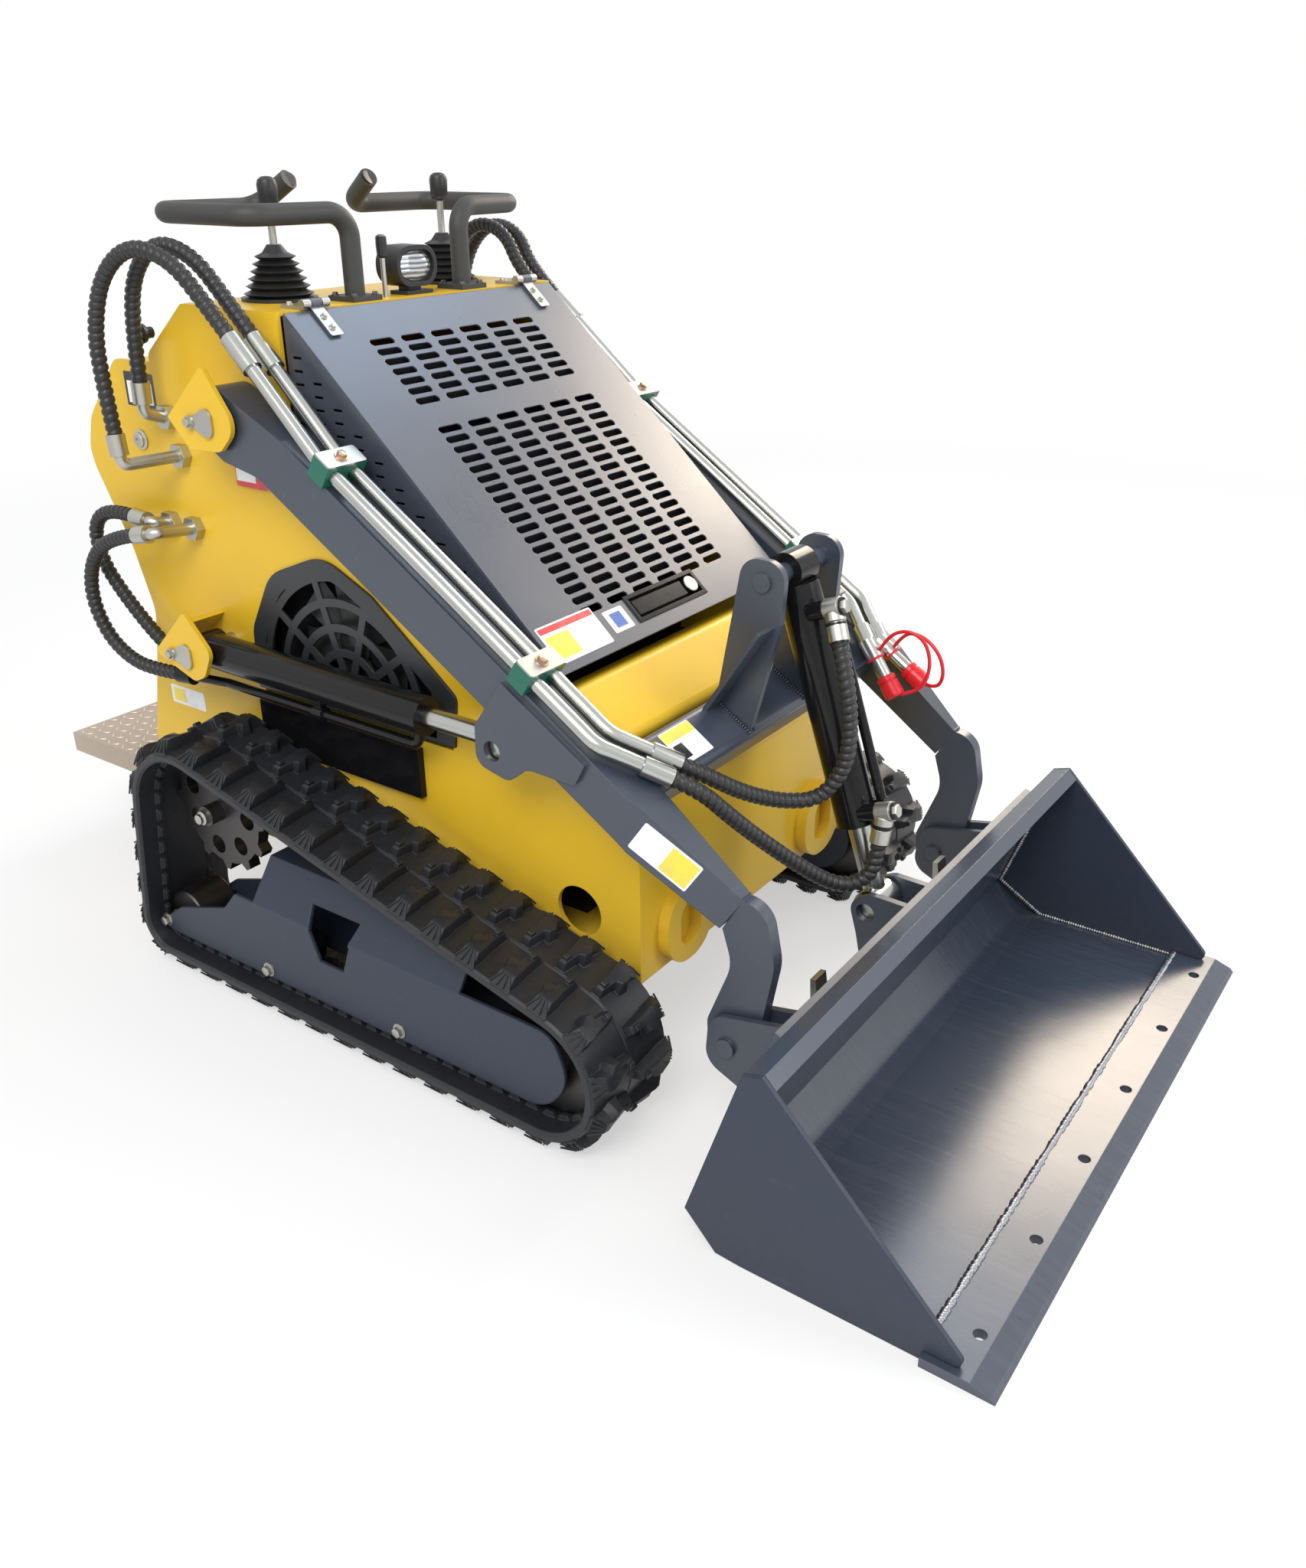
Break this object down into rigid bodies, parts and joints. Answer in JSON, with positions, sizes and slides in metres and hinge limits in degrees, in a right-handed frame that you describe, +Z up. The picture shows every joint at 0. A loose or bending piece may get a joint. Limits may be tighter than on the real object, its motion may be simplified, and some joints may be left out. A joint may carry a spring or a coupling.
{
  "type": "mini skid steer loader",
  "caption": "Stand-on compact tracked loader with side lift arms, slotted hood and a wide front bucket.",
  "frame": {"origin": "on the ground, midway between the platform's rear edge and the cutting edge, on the centre plane", "axes": "+X forward towards the bucket, +Y to the machine's left, +Z up"},
  "size_m": [2.15, 1.11, 1.3186],
  "materials": {
    "yellow_paint": "semi-gloss yellow paint",
    "slate_paint": "satin slate grey paint",
    "black_paint": "semi-gloss black paint",
    "black_plastic": "moulded matt plastic",
    "zinc_steel": "zinc plated",
    "bright_steel": "ground and polished",
    "track_rubber": "moulded rubber",
    "hose_rubber": "hydraulic hose"
  },
  "bodies": {
    "chassis": {"arm_hoses": "hose_rubber", "arm_tower_left": "yellow_paint", "arm_tower_right": "yellow_paint", "belly_plate": "yellow_paint", "chassis_pins_left": "zinc_steel", "chassis_pins_right": "zinc_steel", "console_panel": "yellow_paint", "drive_motors": "black_paint", "engine_block": "black_paint", "fan_grilles": "slate_paint", "front_plate": "yellow_paint", "handlebars": "black_paint", "hood_hinges": "yellow_paint", "hose_ports": "zinc_steel", "joysticks": "black_plastic", "lift_bracket_left": "yellow_paint", "lift_bracket_right": "yellow_paint", "lift_hoses_left": "hose_rubber", "lift_hoses_right": "hose_rubber", "nose_panel": "yellow_paint", "platform_ears": "yellow_paint", "rollers_left": "bright_steel", "rollers_right": "bright_steel", "side_boxes": "black_paint", "side_plate_left": "yellow_paint", "side_plate_right": "yellow_paint", "sprocket_left": "zinc_steel", "sprocket_right": "zinc_steel", "throttle_lever": "zinc_steel", "tie_down_rings": "yellow_paint", "track_frame_left": "slate_paint", "track_frame_right": "slate_paint", "track_left": "track_rubber", "track_right": "track_rubber", "work_light": "black_plastic"},
    "arms": {"arm_right": "slate_paint", "arm_left": "slate_paint", "cross_tube": "slate_paint", "tilt_bracket": "slate_paint", "arm_tubes": "zinc_steel", "tube_clamps": "zinc_steel", "tilt_hoses": "hose_rubber"},
    "bucket": {"quick_attach": "slate_paint", "bucket_shell": "slate_paint", "bucket_side_right": "slate_paint", "bucket_side_left": "slate_paint", "cutting_edge": "slate_paint", "latch_levers": "zinc_steel"},
    "hood": {"hood_top": "slate_paint", "hood_side_right": "slate_paint", "hood_side_left": "slate_paint", "hood_latch": "black_paint"},
    "platform": {"platform": "slate_paint"},
    "lift_barrel_right": {"lift_barrel_right": "black_paint"},
    "lift_rod_right": {"lift_rod_right": "bright_steel"},
    "lift_barrel_left": {"lift_barrel_left": "black_paint"},
    "lift_rod_left": {"lift_rod_left": "bright_steel"},
    "tilt_barrel": {"tilt_barrel": "black_paint"},
    "tilt_rod": {"tilt_rod": "bright_steel"}
  },
  "joints": [
    {"name": "arm_lift", "type": "hinge", "parent": "chassis", "child": "arms", "pos_m": [-0.339, 0, 0.977], "axis": [0, -1, 0], "range_deg": [0, 82], "deforming": ["arm_hoses"]},
    {"name": "bucket_tilt", "type": "hinge", "parent": "arms", "child": "bucket", "pos_m": [0.576, 0, 0.194], "axis": [0, -1, 0], "range_deg": [-50, 14]},
    {"name": "hood_open", "type": "hinge", "parent": "chassis", "child": "hood", "pos_m": [-0.26551, 0, 1.13804], "axis": [0, -1, 0], "range_deg": [0, 65]},
    {"name": "platform_fold", "type": "hinge", "parent": "chassis", "child": "platform", "pos_m": [-0.786, 0, 0.236], "axis": [0, 1, 0], "range_deg": [0, 85]},
    {"name": "lift_barrel_swing_right", "type": "hinge", "parent": "chassis", "child": "lift_barrel_right", "pos_m": [-0.485, -0.368, 0.574], "axis": [0, -1, 0], "range_deg": [0, 55.35], "deforming": ["lift_hoses_right"]},
    {"name": "lift_rod_slide_right", "type": "slide", "parent": "lift_barrel_right", "child": "lift_rod_right", "axis": [1, 0, -0.0059], "range_m": [0, 0.3966]},
    {"name": "lift_barrel_swing_left", "type": "hinge", "parent": "chassis", "child": "lift_barrel_left", "pos_m": [-0.485, 0.368, 0.574], "axis": [0, -1, 0], "range_deg": [0, 55.35], "deforming": ["lift_hoses_left"]},
    {"name": "lift_rod_slide_left", "type": "slide", "parent": "lift_barrel_left", "child": "lift_rod_left", "axis": [1, 0, -0.0059], "range_m": [0, 0.3966]},
    {"name": "tilt_barrel_swing", "type": "hinge", "parent": "arms", "child": "tilt_barrel", "pos_m": [0.446, 0, 0.784], "axis": [0, -1, 0], "range_deg": [-0.5, 1.77], "deforming": ["tilt_hoses"]},
    {"name": "tilt_rod_slide", "type": "slide", "parent": "tilt_barrel", "child": "tilt_rod", "axis": [0.3228, 0, -0.9465], "range_m": [-0.0211, 0.0752]}
  ],
  "couplings": [
    {"joint": "lift_barrel_swing_right", "follows": "arm_lift", "ratio": 0.66892},
    {"joint": "lift_rod_slide_right", "follows": "arm_lift", "m_per_rad": 0.2757},
    {"joint": "lift_barrel_swing_left", "follows": "arm_lift", "ratio": 0.66892},
    {"joint": "lift_rod_slide_left", "follows": "arm_lift", "m_per_rad": 0.2757},
    {"joint": "tilt_barrel_swing", "follows": "bucket_tilt", "ratio": -0.0338},
    {"joint": "tilt_rod_slide", "follows": "bucket_tilt", "m_per_rad": -0.082086}
  ]
}
